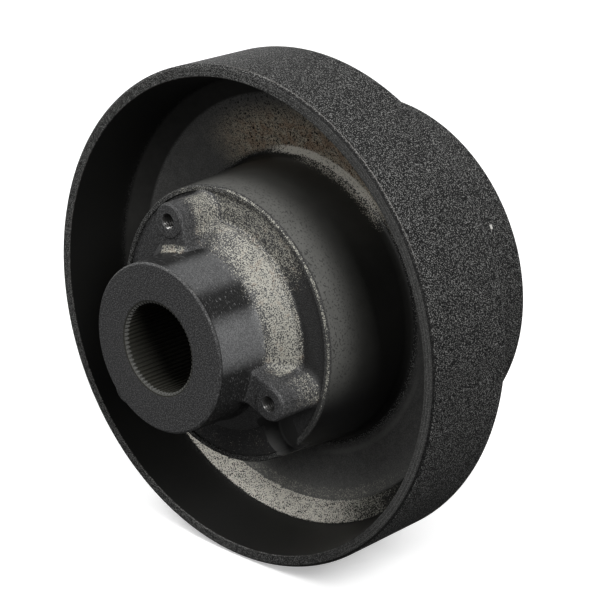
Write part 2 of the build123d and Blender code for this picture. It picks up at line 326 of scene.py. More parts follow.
class Graph:
    """Node tree of one material. Each call makes a node and returns its output, a value or a colour."""

    def __init__(self, name):
        self.material = bpy.data.materials.new(name)
        self.material.use_nodes = True
        self.tree = self.material.node_tree
        self.tree.nodes.clear()
        self.output = self.tree.nodes.new("ShaderNodeOutputMaterial")
        place = self.tree.nodes.new("ShaderNodeTexCoord").outputs["Object"]
        self.place = self.vector("SCALE", place, scale=1 / MM)
        split = self.tree.nodes.new("ShaderNodeSeparateXYZ")
        self.feed(split.inputs[0], self.place)
        self.x, self.y, self.z = split.outputs
        self.r = self.math("SQRT", self.math("ADD", self.math("MULTIPLY", self.x, self.x),
                                             self.math("MULTIPLY", self.z, self.z)))

    def feed(self, socket, value):
        if isinstance(value, bpy.types.NodeSocket):
            self.tree.links.new(value, socket)
        else:
            socket.default_value = value

    def math(self, operation, a, b=0.0):
        node = self.tree.nodes.new("ShaderNodeMath")
        node.operation = operation
        for socket, value in zip(node.inputs, (a, b)):
            self.feed(socket, value)
        return node.outputs[0]

    def vector(self, operation, a, b=None, scale=None):
        node = self.tree.nodes.new("ShaderNodeVectorMath")
        node.operation = operation
        self.feed(node.inputs[0], a)
        if b is not None:
            self.feed(node.inputs[1], b)
        if scale is not None:
            self.feed(node.inputs["Scale"], scale)
        return node.outputs["Value" if operation in ("DOT_PRODUCT", "DISTANCE") else "Vector"]

    def step(self, value, low, high):
        """0 below low, 1 above high and smooth between. Falls instead where low is above high."""
        node = self.tree.nodes.new("ShaderNodeMapRange")
        node.interpolation_type = "SMOOTHSTEP"
        self.feed(node.inputs["Value"], value)
        self.feed(node.inputs["From Min"], min(low, high))
        self.feed(node.inputs["From Max"], max(low, high))
        self.feed(node.inputs["To Min"], 0.0 if low < high else 1.0)
        self.feed(node.inputs["To Max"], 1.0 if low < high else 0.0)
        return node.outputs["Result"]

    def band(self, value, low, high, soft):
        """1 between low and high, falling to 0 over soft outside them."""
        return self.both(self.step(value, low - soft, low), self.step(value, high + soft, high))

    def arc(self, centre, half, soft):
        """1 within half degrees of an angle about the shaft, falling to 0 over soft degrees."""
        direction = (math.cos(math.radians(centre)), 0, math.sin(math.radians(centre)))
        along = self.math("DIVIDE", self.vector("DOT_PRODUCT", self.place, direction), self.r)
        return self.step(along, math.cos(math.radians(min(half + soft, 180))), math.cos(math.radians(half)))

    def both(self, *values):
        total = values[0]
        for value in values[1:]:
            total = self.math("MULTIPLY", total, value)
        return total

    def either(self, *values):
        total = values[0]
        for value in values[1:]:
            total = self.math("MAXIMUM", total, value)
        return total

    def noise(self, size, detail=2.0, rough=0.5, place=None):
        """Noise from 0 to 1 whose lumps are about size millimetres."""
        node = self.tree.nodes.new("ShaderNodeTexNoise")
        self.feed(node.inputs["Vector"], self.place if place is None else place)
        node.inputs["Scale"].default_value = 1 / size
        node.inputs["Detail"].default_value = detail
        node.inputs["Roughness"].default_value = rough
        return node.outputs["Fac"]

    def mix(self, share, a, b):
        """Colour a where share is 0 and b where it is 1."""
        node = self.tree.nodes.new("ShaderNodeMix")
        node.data_type = "RGBA"
        self.feed(node.inputs["Factor"], share)
        self.feed(node.inputs[6], rgba(a))
        self.feed(node.inputs[7], rgba(b))
        return node.outputs[2]

    def blend(self, share, a, b):
        """Value a where share is 0 and b where it is 1."""
        node = self.tree.nodes.new("ShaderNodeMix")
        self.feed(node.inputs["Factor"], share)
        self.feed(node.inputs[2], a)
        self.feed(node.inputs[3], b)
        return node.outputs[0]

    def brighten(self, colour, factor):
        """Colour times a value."""
        return self.vector("SCALE", colour, scale=factor)

    def bump(self, height, depth):
        """Normal of a surface raised by height times depth millimetres."""
        node = self.tree.nodes.new("ShaderNodeBump")
        node.inputs["Strength"].default_value = 1.0
        node.inputs["Distance"].default_value = depth * MM
        self.feed(node.inputs["Height"], height)
        return node.outputs["Normal"]

    def surface(self, colour, rough, normal=None, metal=0.0, gloss=0.5):
        node = self.tree.nodes.new("ShaderNodeBsdfPrincipled")
        self.feed(node.inputs["Base Color"], rgba(colour))
        self.feed(node.inputs["Roughness"], rough)
        self.feed(node.inputs["Metallic"], metal)
        self.feed(node.inputs["Specular IOR Level"], gloss)
        if normal is not None:
            self.feed(node.inputs["Normal"], normal)
        self.tree.links.new(node.outputs[0], self.output.inputs[0])
        return self.material


def rgba(colour):
    return colour if isinstance(colour, bpy.types.NodeSocket) else (*colour, 1.0)


# Colours; of two in a pair, noise runs from the first to the second
CAST_PAINT = ((0.010, 0.010, 0.010), (0.015, 0.015, 0.015))
RIM_PAINT = (0.064, 0.064, 0.062)
LIGHT_GRAIN = (0.210, 0.210, 0.204)
DARK_GRAIN = (0.002, 0.002, 0.002)
BAND_PAINT = ((0.012, 0.012, 0.011), (0.034, 0.033, 0.031))
DEEP_PAINT = (0.007, 0.007, 0.0065)
WEB_PAINT = ((0.052, 0.052, 0.051), (0.110, 0.109, 0.105))
WEB_STAIN = ((0.26, 0.22, 0.155), (0.82, 0.74, 0.58))
WEB_DUST = ((0.09, 0.09, 0.087), (0.30, 0.30, 0.285))
FILLET_PAINTED_HIGHLIGHT = (0.20, 0.20, 0.19)
WEB_RUST = (0.26, 0.135, 0.068)
WEB_PITS = (0.008, 0.008, 0.007)
TOWER_PAINT = ((0.024, 0.024, 0.022), (0.042, 0.042, 0.039))
TOWER_SHADE = (0.009, 0.009, 0.009)
TOWER_HAZE_AND_LIGHT = ((0.085, 0.085, 0.080), (0.150, 0.149, 0.140))
TOWER_SPECKS = (0.02, 0.02, 0.02)
RIM_SCRATCH_AND_SHEEN = (0.17, 0.17, 0.165)
RIM_EDGE_PAINTED_SHADOW = (0.003, 0.003, 0.003)
SKIRT_CHIP = (0.62, 0.61, 0.58)
HUB_PAINT = ((0.036, 0.036, 0.037), (0.050, 0.050, 0.051))
HUB_LIGHT_GRAIN = (0.14, 0.14, 0.14)
HUB_DARK_GRAIN = (0.012, 0.012, 0.012)
NOSE_PAINTED_SHEEN = ((0.014, 0.014, 0.014), (0.200, 0.202, 0.205))
NOSE_MARKS = (0.20, 0.20, 0.20)
FLANGE_SHADE = (0.013, 0.013, 0.013)
NOSE_EDGE = (0.006, 0.006, 0.006)
BORE_STEEL = ((0.026, 0.026, 0.021), (0.044, 0.043, 0.035))
TOOTH_ENDS = (0.13, 0.13, 0.122)
THREAD_STEEL = (0.11, 0.108, 0.105)
MACHINED_WALL = (0.050, 0.050, 0.049)
THIN_DUST = (0.31, 0.30, 0.26)
PALE_DUST = (0.42, 0.41, 0.355)
THICK_DUST_AND_LIGHT = (0.74, 0.71, 0.63)
RUST = (0.16, 0.085, 0.045)
WORN_EDGE_AND_GLINT = (0.30, 0.29, 0.27)


# Masks and textures that both paints use

def paint_grain(g, size, share):
    """Grain of sprayed paint on a casting: noise of one size with a share of coarser noise."""
    return g.math("ADD", g.both(g.noise(size, 0.0), share), g.both(g.noise(1.6, 1.0), 1 - share))


def off_axis(g, pitch_r, angle):
    """Distance from a line along Y at a radius and an angle."""
    turn = math.radians(angle)
    flat = g.vector("MULTIPLY", g.place, (1, 0, 1))
    return g.vector("DISTANCE", flat, (pitch_r * math.cos(turn), 0, pitch_r * math.sin(turn)))


def pocket_mask(g):
    """1 on the machined walls of the balance pocket."""
    across = g.step(off_axis(g, POCKET_PCD_R, POCKET_ANGLE), POCKET_R + 0.12, POCKET_R + 0.04)
    return g.both(across, g.step(g.y, POCKET_END_Y + 0.6, POCKET_END_Y))


def thread_mask(g):
    """1 on the tapped holes' threads in the puller lugs."""
    deep = g.band(g.y, PAD_Y + 0.4, PAD_Y + 9, 0.3)
    return g.either(*(g.both(g.step(off_axis(g, LUG_PCD_R, angle), M8_CREST_R + 0.2, M8_CREST_R + 0.1), deep)
                      for angle in LUG_ANGLES))


def dusted(g, amount):
    """Share of pale dust: amount thresholded by fine noise, so that it breaks into specks."""
    specks = g.math("ADD", g.both(g.noise(0.58, 0.0), 0.72), g.both(g.noise(5.0, 3.0, 0.6), 0.28))
    limit = g.math("SUBTRACT", 0.78, g.both(amount, 0.31))
    return g.both(g.step(g.math("SUBTRACT", specks, limit), -0.10, 0.10), g.step(amount, 0.02, 0.12))


# The drum's paint

def drum_zones(g):
    """Masks of the wall inside the drum, the slanted band at its foot, the tower and the web."""
    wall_r, wall_y = WALL_FOOT
    band_r, band_y = BAND_FOOT
    lining_end = g.step(g.y, WEB_FOOT_Y - 1.4, WEB_FOOT_Y - 3.4)
    inside = g.both(g.step(g.r, RIM_BORE_R - 0.8, RIM_BORE_R - 1.4), g.step(g.y, RIM_Y + 0.5, RIM_Y + 1.2),
                    g.step(g.y, DRUM_REAR_Y + 0.7, DRUM_REAR_Y - 0.3))
    lower_wall = g.both(inside, g.step(g.r, wall_r - 0.8, wall_r + 0.7), lining_end)
    rim_lining = g.both(g.step(g.r, RIM_BORE_R + 0.6, RIM_BORE_R + 0.2),
                        g.step(g.r, wall_r - 1.3, wall_r + 0.7),
                        g.step(g.y, RIM_Y + 0.3, RIM_Y + 0.8), lining_end)
    band = g.both(g.step(g.r, band_r - 0.4, band_r + 0.6), g.step(g.r, wall_r + 0.4, wall_r - 0.6),
                  g.step(g.y, wall_y - 0.8, wall_y), g.step(g.y, band_y + 1.9, band_y + 0.5))
    tower = g.both(g.step(g.r, TOWER_FOOT_R + 2.9, TOWER_FOOT_R + 1.4), g.step(g.y, LIP_Y + 1.5, LIP_Y + 2.3),
                   g.step(g.r, LIP_BORE_R + 0.6, LIP_BORE_R + 1.2),
                   g.step(g.y, WEB_FOOT_Y + 1.6, WEB_FOOT_Y - 0.4))
    web = g.both(g.step(g.r, TOWER_FOOT_R + 1.9, TOWER_FOOT_R + 5.9), g.step(g.r, band_r + 1.2, band_r - 0.4),
                 g.step(g.y, band_y - 2.1, band_y - 1.1), g.step(g.y, WEB_FOOT_Y + 2.6, WEB_FOOT_Y + 0.6))
    return g.either(lower_wall, rim_lining), band, tower, web


def sprayed_casting(g, grain, front):
    """Black paint full of light and dark grains, greyer on the rim's front."""
    contrast = g.blend(front, 1.0, g.blend(g.arc(5, 40, 45), 0.85, 0.35))
    colour = g.mix(g.noise(14.0, 3.0, 0.55), *CAST_PAINT)
    colour = g.mix(g.both(front, 0.7), colour, RIM_PAINT)
    colour = g.mix(g.both(g.step(grain, 0.56, 0.66), contrast), colour, LIGHT_GRAIN)
    return g.mix(g.both(g.step(grain, 0.49, 0.42), contrast), colour, DARK_GRAIN)


def web_paint(g, colour, web, grain):
    """Thin grey paint on the web, stained above the tower and dusty below it, with a painted highlight line
    along the tower's fillet.
    """
    dull = g.mix(g.noise(5.0, 4.0, 0.6), *WEB_PAINT)
    colour = g.mix(web, colour, g.mix(g.step(grain, 0.44, 0.60), dull, g.brighten(dull, 1.5)))
    stained = g.both(web, g.arc(82, 28, 24), g.step(g.r, 103, 86), g.step(grain, 0.38, 0.56))
    colour = g.mix(stained, colour, g.mix(g.noise(3.0, 4.0, 0.65), *WEB_STAIN))
    settled = g.both(web, g.arc(280, 28, 30), g.step(g.r, 88, 103), 0.55)
    colour = g.mix(settled, colour, g.mix(grain, *WEB_DUST))
    # Thin lighter line along the fillet's edge on the lower right: painted highlight.
    fillet_highlight = g.both(web, g.arc(313, 24, 14), g.band(g.r, 79.5, 80.5, 1.6), 0.35)
    return g.mix(fillet_highlight, colour, FILLET_PAINTED_HIGHLIGHT)


def tower_paint(g):
    """Satin black on the tower's side, painted darker as shade away from its upper right, and towards its
    upper right front a grey haze that is partly painted light, with dark specks.
    """
    # The haze lightens the side near the lip and towards the lit upper right as painted light; the rest of
    # the side gets painted shade.
    haze = g.both(g.step(g.y, 68, 43), g.arc(48, 45, 30))
    satin_and_shade = g.mix(g.arc(45, 45, 30), TOWER_SHADE, g.mix(g.noise(8.0, 4.0, 0.6), *TOWER_PAINT))
    specks = g.both(g.step(g.noise(1.0, 1.0), 0.42, 0.36), 0.7)
    misty_and_lit = g.mix(specks, g.mix(g.noise(7.0, 4.0, 0.6), *TOWER_HAZE_AND_LIGHT), TOWER_SPECKS)
    return g.mix(haze, satin_and_shade, misty_and_lit)


def web_rust(g, colour, web):
    """Rust tint and dark pits on the web above the tower."""
    spots = g.step(g.noise(5.0, 5.0, 0.7), 0.42, 0.60)
    rust = g.both(web, g.arc(84, 20, 26), g.step(g.r, 99, 86), spots, 0.5)
    colour = g.mix(rust, colour, WEB_RUST)
    pits = g.both(web, g.arc(80, 30, 20), g.step(g.noise(1.1, 1.0), 0.58, 0.66))
    return g.mix(pits, colour, WEB_PITS)


def drum_dust(g, colour, band, web):
    """Pale dust with black specks in the corners that the sprayed paint missed, brightened further as painted
    light on the tower's foot and the band's lower left.
    """
    # The bright ring on the tower's foot is bare patchy metal with a painted highlight over it.
    foot = g.both(g.arc(75, 17, 20), g.band(g.r, TOWER_FOOT_R + 2.1, TOWER_FOOT_R + 4.3, 1.8),
                  g.step(g.y, 91, 94.5), 1.35)
    foot_side = g.both(g.arc(66, 16, 14), g.step(g.r, 80, 76), g.step(g.y, 89, 95), 0.8)
    # The band's lower left is dust made brighter to stand in for light reaching it: dust and painted light.
    low_band_dust_and_light = g.both(band, g.arc(258, 16, 52), 1.12)
    low_ring = g.both(web, g.arc(278, 20, 24), g.band(g.r, 99.5, 102.5, 3.0), 0.55)
    lip_edge = g.both(g.step(g.r, TOWER_R - 1.4, TOWER_R - 0.8), g.step(g.y, LIP_Y + 1.2, LIP_Y + 0.5),
                      g.arc(36, 38, 30), 0.75)
    lip_face = g.both(g.step(g.r, LIP_BORE_R - 1.0, LIP_BORE_R - 0.2), g.step(g.y, LIP_Y + 0.5, LIP_Y + 0.2),
                      g.arc(85, 25, 25), 0.5)
    amount = g.either(foot, foot_side, low_band_dust_and_light, low_ring, lip_edge, lip_face)
    thick = g.either(foot, foot_side, g.both(low_band_dust_and_light, g.arc(256, 24, 24)))
    return g.mix(dusted(g, amount), colour, g.mix(thick, PALE_DUST, THICK_DUST_AND_LIGHT))


def rim_marks(g, colour, front):
    """Wear, two turned scratches lightened as painted sheen, a painted shadow line and a painted glint along
    the rim, and a chip on the skirt.
    """
    nick = g.noise(2.2, 3.0, 0.6)
    outer_edge = g.both(g.step(g.r, DRUM_R - 1.7, DRUM_R - 1.1), g.step(g.y, RIM_Y + 1.9, RIM_Y + 0.9),
                        g.step(nick, 0.54, 0.66))
    inner_edge = g.both(g.step(g.r, RIM_BORE_R + 0.75, RIM_BORE_R + 0.3),
                        g.step(g.r, RIM_BORE_R - 1.5, RIM_BORE_R - 0.5),
                        g.step(g.y, RIM_Y + 0.8, RIM_Y + 0.3), g.step(nick, 0.42, 0.6))
    colour = g.mix(g.both(g.either(outer_edge, inner_edge), 0.14), colour, WORN_EDGE_AND_GLINT)
    # Turned scratches, drawn lighter only over the upper right: real marks shown as painted sheen.
    rings = g.either(*(g.band(g.r, radius, radius + 0.1, 0.15) for radius in RIM_SCRATCH_RADII))
    colour = g.mix(g.both(front, rings, g.arc(25, 75, 12), 0.4), colour, RIM_SCRATCH_AND_SHEEN)
    # Dark line on the rim's outer chamfer at the right: painted shadow.
    line = g.both(g.step(g.r, DRUM_R - 1.5, DRUM_R - 1.2), g.step(g.y, RIM_Y + 1.3, RIM_Y + 0.9),
                  g.arc(5, 62, 25), 0.85)
    colour = g.mix(line, colour, RIM_EDGE_PAINTED_SHADOW)
    # Light line along the rim's outer edge at the upper right: painted glint.
    glint = g.both(g.step(g.r, DRUM_R - 1.0, DRUM_R - 0.4), g.band(g.y, RIM_Y + 1.6, RIM_Y + 1.8, 0.3),
                   g.arc(60, 22, 20), 0.35)
    colour = g.mix(glint, colour, WORN_EDGE_AND_GLINT)
    chip = g.both(g.arc(CHIP_ANGLE, 0.5, 0.4), g.band(g.y, CHIP_Y - 0.6, CHIP_Y + 0.6, 0.4),
                  g.step(g.r, SKIRT_R - 1.5, SKIRT_R - 0.5))
    return g.mix(chip, colour, SKIRT_CHIP)


def drum_paint():
    g = Graph("black_cast_paint")
    grain = paint_grain(g, 0.50, 0.82)
    wall, band, tower, web = drum_zones(g)
    front = g.step(g.y, RIM_Y + 0.5, RIM_Y + 0.2)
    pocket = pocket_mask(g)

    colour = sprayed_casting(g, grain, front)
    colour = g.mix(band, colour, g.mix(g.noise(6.0, 4.0, 0.6), *BAND_PAINT))
    colour = web_paint(g, colour, web, grain)
    colour = g.mix(tower, colour, tower_paint(g))
    colour = g.mix(wall, colour, DEEP_PAINT)
    colour = web_rust(g, colour, web)
    colour = drum_dust(g, colour, band, web)
    colour = rim_marks(g, colour, front)
    colour = g.mix(pocket, colour, MACHINED_WALL)

    fine = g.either(wall, tower, band, web, pocket)
    rough = g.blend(tower, g.blend(wall, 0.74, 0.42), 0.40)
    height = g.math("ADD", g.both(grain, 0.75), g.both(g.noise(2.6, 2.0, 0.5), 0.35))
    normal = g.bump(g.both(height, g.blend(fine, 1.0, 0.22)), 0.24)
    return g.surface(colour, rough, normal, gloss=g.blend(fine, 0.22, 0.35))


# The hub's paint

def nose_sheen_and_marks(g, colour, grain, nose_side, sheen):
    """The nose's side painted lighter in two bands along the shaft as painted sheen, with fine marks over it.
    """
    uneven = g.blend(g.noise(5.0, 4.0, 0.6), 0.75, 1.0)
    bright = g.both(sheen, uneven, g.blend(g.step(grain, 0.42, 0.58), 0.62, 1.0))
    colour = g.mix(g.both(nose_side, 0.85), colour, g.mix(bright, *NOSE_PAINTED_SHEEN))
    marks = g.noise(1.0, 2.0, 0.5, g.vector("MULTIPLY", g.place, (0.25, 1.6, 0.8)))
    return g.mix(g.both(nose_side, g.step(marks, 0.60, 0.70), 0.5), colour, NOSE_MARKS)


def hub_dust(g, colour):
    """Pale dust on the flare, the lugs' backs and the flange, with a little rust in it."""
    flare = g.both(g.step(g.y, 22.0, 33.0), g.step(g.r, 53.0, 51.0), g.arc(15, 28, 82), g.step(g.z, -22, -8))
    upper_lug = g.both(g.step(g.y, 24.0, 31.0), g.arc(88, 9, 6))
    lower_lug = g.both(g.step(g.y, 22.0, 36.0), g.arc(-11, 7, 4), g.step(g.r, 52.0, 58.0), 0.7)
    lugs = g.both(g.step(g.r, 45.0, 50.0), g.step(g.y, 43.6, 42.0), g.either(upper_lug, lower_lug))
    face = g.both(g.step(g.r, 50.8, 51.6), g.step(g.y, 42.8, 43.6), g.arc(68, 18, 24), 0.8)
    low = g.both(g.arc(275, 30, 20), g.step(g.y, 38, 41), 0.15)
    lug_root = g.both(g.arc(101, 8, 4), g.band(g.y, 17.5, 20.5, 1.0), g.band(g.r, 42.0, 45.0, 1.0), 0.85)
    amount = g.either(flare, g.both(lugs, 0.85), face, low, lug_root)
    colour = g.mix(dusted(g, amount), colour, g.mix(g.noise(4.0, 3.0), THIN_DUST, PALE_DUST))
    rust = g.both(amount, g.step(g.noise(5.0, 4.0, 0.7), 0.55, 0.7), 0.35)
    return g.mix(rust, colour, RUST)


def hub_edges(g, colour):
    """Worn metal on the edges of nose, collar and flange, and the nose's shaded right edge."""
    nick = g.noise(1.8, 3.0, 0.6)
    shaded = g.both(g.step(g.y, 1.7, 1.2), g.step(g.r, NOSE_R - 0.4, NOSE_R + 0.1), g.arc(5, 45, 25), 0.7)
    colour = g.mix(shaded, colour, NOSE_EDGE)
    nose = g.both(g.step(g.y, 1.6, 0.9), g.step(g.r, NOSE_R - 1.2, NOSE_R - 0.7), g.step(nick, 0.50, 0.66),
                  g.arc(85, 45, 30), 0.15)
    collar = g.both(g.band(g.y, COLLAR_Y - 0.4, COLLAR_Y + 0.8, 0.4),
                    g.step(g.r, COLLAR_R - 0.9, COLLAR_R - 0.4), g.step(nick, 0.46, 0.62), 0.3)
    flange = g.both(g.step(g.r, FLANGE_R - 1.0, FLANGE_R - 0.5), g.step(g.y, FLANGE_Y + 1.1, FLANGE_Y + 0.3),
                    g.step(nick, 0.50, 0.66), g.arc(40, 70, 30), 0.2)
    return g.mix(g.either(nose, collar, flange), colour, WORN_EDGE_AND_GLINT)


def hub_paint():
    g = Graph("black_hub_paint")
    grain = paint_grain(g, 0.60, 0.80)
    nose_side = g.both(g.step(g.r, NOSE_R + 2.0, NOSE_R + 1.4), g.step(g.r, NOSE_R - 0.5, NOSE_R - 0.1),
                       g.step(g.y, 0.8, 1.4), g.step(g.y, FLARE_FOOT[1] + 2, FLARE_FOOT[1]))
    # Two bands where the nose's side is painted lighter: painted highlights of the lamps.
    sheen = g.either(g.arc(15, 5.5, 16), g.both(g.arc(67, 6, 14), 0.62))
    bore = g.step(g.r, MOUTH_R + 0.4, MOUTH_R)
    pocket = pocket_mask(g)
    threads = thread_mask(g)

    colour = g.mix(g.noise(9.0, 3.0, 0.55), *HUB_PAINT)
    colour = g.mix(g.both(g.step(grain, 0.52, 0.66), 0.6), colour, HUB_LIGHT_GRAIN)
    colour = g.mix(g.both(g.step(grain, 0.47, 0.38), 0.7), colour, HUB_DARK_GRAIN)
    colour = nose_sheen_and_marks(g, colour, grain, nose_side, sheen)
    shaded_face = g.both(g.step(g.r, 50.0, 51.5), g.step(g.y, 41.0, 42.5), g.arc(-30, 55, 35), 0.75)
    colour = g.mix(shaded_face, colour, FLANGE_SHADE)
    colour = hub_dust(g, colour)
    colour = hub_edges(g, colour)
    colour = g.mix(bore, colour, g.mix(g.noise(3.0, 3.0, 0.6), *BORE_STEEL))
    tooth_ends = g.both(g.step(g.r, SPLINE_ROOT_R + 0.05, SPLINE_ROOT_R - 0.05),
                        g.step(g.y, 2.5, 2.0), g.step(g.y, 0.1, 0.3))
    colour = g.mix(tooth_ends, colour, TOOTH_ENDS)
    colour = g.mix(pocket, colour, MACHINED_WALL)
    colour = g.mix(threads, colour, THREAD_STEEL)

    rough = g.blend(bore, g.blend(nose_side, 0.60, g.blend(g.noise(6.0, 3.0), 0.32, 0.52)), 0.42)
    rough = g.blend(threads, rough, 0.30)
    metal = g.either(g.both(bore, 0.25), g.both(threads, 0.8))
    depth = g.blend(g.either(bore, threads, pocket), g.blend(nose_side, 1.0, 0.75), 0.1)
    normal = g.bump(g.both(grain, depth), 0.24)
    gloss = g.blend(nose_side, 0.45, g.blend(sheen, 0.12, 0.55))
    return g.surface(colour, rough, normal, metal=metal, gloss=gloss)


# The other materials

def turned_steel(name, dark, light, rough=0.30, ring=0.35):
    """Machined steel or bronze, with the fine rings of a lathe tool."""
    g = Graph(name)
    colour = g.mix(g.noise(7.0, 4.0, 0.6), dark, light)
    spread = g.math("ADD", g.r, g.y)
    ripple = g.math("SINE", g.math("ADD", g.both(spread, 2 * math.pi / ring), g.both(g.noise(4.0), 3.0)))
    stain = g.step(g.noise(11.0, 5.0, 0.65), 0.52, 0.70)
    colour = g.mix(g.both(stain, 0.35), colour, tuple(0.45 * part for part in dark))
    roughness = g.blend(g.noise(2.5, 3.0), rough - 0.06, rough + 0.12)
    return g.surface(colour, roughness, g.bump(ripple, 0.006), metal=1.0)


def plated_steel(name, dark, light, rough):
    g = Graph(name)
    colour = g.mix(g.noise(3.0, 4.0, 0.6), dark, light)
    colour = g.mix(g.both(g.step(g.noise(1.1, 3.0, 0.7), 0.58, 0.72), 0.3), colour, dark)
    return g.surface(colour, g.blend(g.noise(1.5), rough - 0.08, rough + 0.10),
                     g.bump(g.noise(0.4, 2.0), 0.02), metal=0.9)


def black_oxide():
    g = Graph("black_oxide_steel")
    colour = g.mix(g.noise(2.0, 3.0), (0.016, 0.016, 0.018), (0.034, 0.034, 0.036))
    return g.surface(colour, g.blend(g.noise(1.2), 0.30, 0.46), g.bump(g.noise(0.3), 0.012), metal=0.55)


def block_rubber():
    g = Graph("block_rubber")
    colour = g.mix(g.noise(4.0, 4.0, 0.6), (0.014, 0.014, 0.015), (0.026, 0.026, 0.026))
    bloom = g.step(g.noise(9.0, 4.0, 0.6), 0.50, 0.72)
    colour = g.mix(g.both(bloom, 0.4), colour, (0.055, 0.054, 0.052))
    return g.surface(colour, 0.68, g.bump(g.noise(0.5, 3.0), 0.05), gloss=0.35)


MATERIALS = {
    "black_cast_paint": drum_paint(),
    "black_hub_paint": hub_paint(),
    "black_oxide_steel": black_oxide(),
    "zinc_steel": plated_steel("zinc_steel", (0.34, 0.33, 0.29), (0.55, 0.54, 0.50), 0.34),
    "zinc_steel_plate": plated_steel("zinc_steel_plate", (0.30, 0.30, 0.28), (0.48, 0.48, 0.46), 0.38),
    "ground_steel": turned_steel("ground_steel", (0.42, 0.42, 0.43), (0.60, 0.60, 0.61), 0.2, 0.2),
    "machined_steel": turned_steel("machined_steel", (0.30, 0.30, 0.30), (0.46, 0.46, 0.45)),
    "bronze": turned_steel("bronze", (0.40, 0.25, 0.11), (0.58, 0.40, 0.20)),
    "block_rubber": block_rubber(),
}


def dress(made, name, body, *nodes):
    """Gives a piece its material and slot, and puts it in place of its CAD nodes on their body."""
    made.data.materials.clear()
    made.data.materials.append(MATERIALS[name])
    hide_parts(*nodes)
    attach(made, body)


# Drum casting

def pocket_rod():
    start_y = LIP_Y - 20
    outline = [(0, start_y), (POCKET_R, start_y), (POCKET_R, POCKET_END_Y, 1.2), (0, POCKET_END_Y)]
    return placed(lathe("rod", outline, 96), POCKET_PCD_R, POCKET_ANGLE)


def ring_of_rods(radius, y_from, y_to, pitch_r, angles):
    return [rod(radius, y_from, y_to, pitch_r, angle) for angle in angles]


def drum_shell():
    outline = [
        (RIM_BORE_R, RIM_Y, 0.5),
        (DRUM_R - 1.5, RIM_Y, 0.6),
        (DRUM_R, RIM_Y + 1.5, 0.9),
        (DRUM_R, DRUM_REAR_Y, 2.5),
        (SKIRT_R, DRUM_REAR_Y, 3.0),
        (SKIRT_R, SKIRT_END_Y - 1, 0.5),
        (SKIRT_R - 1, SKIRT_END_Y, 0.5),
        (RING_RECESS_R, SKIRT_END_Y, 0.3),
        (RING_RECESS_R, RING_SEAT_Y),
        (SKIRT_BORE_R, RING_SEAT_Y, 0.3),
        (SKIRT_BORE_R, FLOOR_Y, 1.5),
        (TOWER_BORE_R, FLOOR_Y, 0.6),
        (TOWER_BORE_R, SEAT_END_Y, 1.0),
        (SEAT_RING_R, SEAT_END_Y, 0.3),
        (SEAT_RING_R, SEAT_Y, 0.3),
        (LIP_BORE_R, SEAT_Y),
        (LIP_BORE_R, LIP_Y, 0.25),
        (TOWER_R - 0.7, LIP_Y, 0.35),
        (TOWER_R, LIP_Y + 0.7, 0.6),
        (TOWER_FOOT_R, WEB_FOOT_Y, 5.0),
        (*BAND_FOOT, 2.0),
        (*WALL_FOOT, 2.5),
    ]
    shell = lathe("drum_shell", outline, spacing=3.5)
    cutters = [pocket_rod()]
    cutters += ring_of_rods(M8_HOLE_R, SEAT_Y - 1, SEAT_END_Y + 1, FLANGE_SCREW_R, FLANGE_SCREW_ANGLES)
    cutters += ring_of_rods(DOWEL_R, SEAT_Y - 1, SEAT_END_Y + 1, DOWEL_PCD_R, DOWEL_ANGLES)
    cutters += ring_of_rods(M8_TAP_R, JAW_TAP_END_Y, FLOOR_Y + 1, JAW_SCREW_R, JAW_ANGLES)
    return finish_mesh(carve(shell, cutters), 32)


# Splined hub

def outline_distance(points, radius, y):
    """Signed distance of (radius, y) places from a closed outline, negative inside."""
    nearest = np.full(radius.shape, np.inf)
    sign = np.ones(radius.shape)
    for index, (r1, y1) in enumerate(points):
        r0, y0 = points[index - 1]
        along_r, along_y = r1 - r0, y1 - y0
        from_r, from_y = radius - r0, y - y0
        share = np.clip((from_r * along_r + from_y * along_y) / (along_r ** 2 + along_y ** 2), 0, 1)
        gap = np.hypot(from_r - share * along_r, from_y - share * along_y)
        nearest = np.minimum(nearest, gap)
        crossing = ((y0 > y) != (y1 > y)) & (from_r < along_r * from_y / (along_y if along_y else 1e-9))
        sign = np.where(crossing, -sign, sign)
    return nearest * sign


def lug_distance(place, angle):
    """Signed distance from a puller lug: a U-shaped post round its hole, joined straight to the nose."""
    turn = math.radians(angle)
    out = place[:, 0] * math.cos(turn) + place[:, 2] * math.sin(turn) - LUG_PCD_R
    across = -place[:, 0] * math.sin(turn) + place[:, 2] * math.cos(turn)
    edge = 1.1
    draft = (place[:, 1] - LUG_Y) * 0.012
    side = np.hypot(np.maximum(out, 0), across) - LUG_R + 0.25 - draft + edge
    side = np.maximum(side, 10 - LUG_PCD_R - out)
    above = LUG_Y - place[:, 1] + edge
    outside = np.hypot(np.maximum(side, 0), np.maximum(above, 0))
    return outside + np.minimum(np.maximum(side, above), 0) - edge


def smooth_union(a, b, reach):
    """Union of two distances with a fillet about reach wide."""
    near = np.maximum(reach - np.abs(a - b), 0) / reach
    return np.minimum(a, b) - near ** 2 * reach / 4


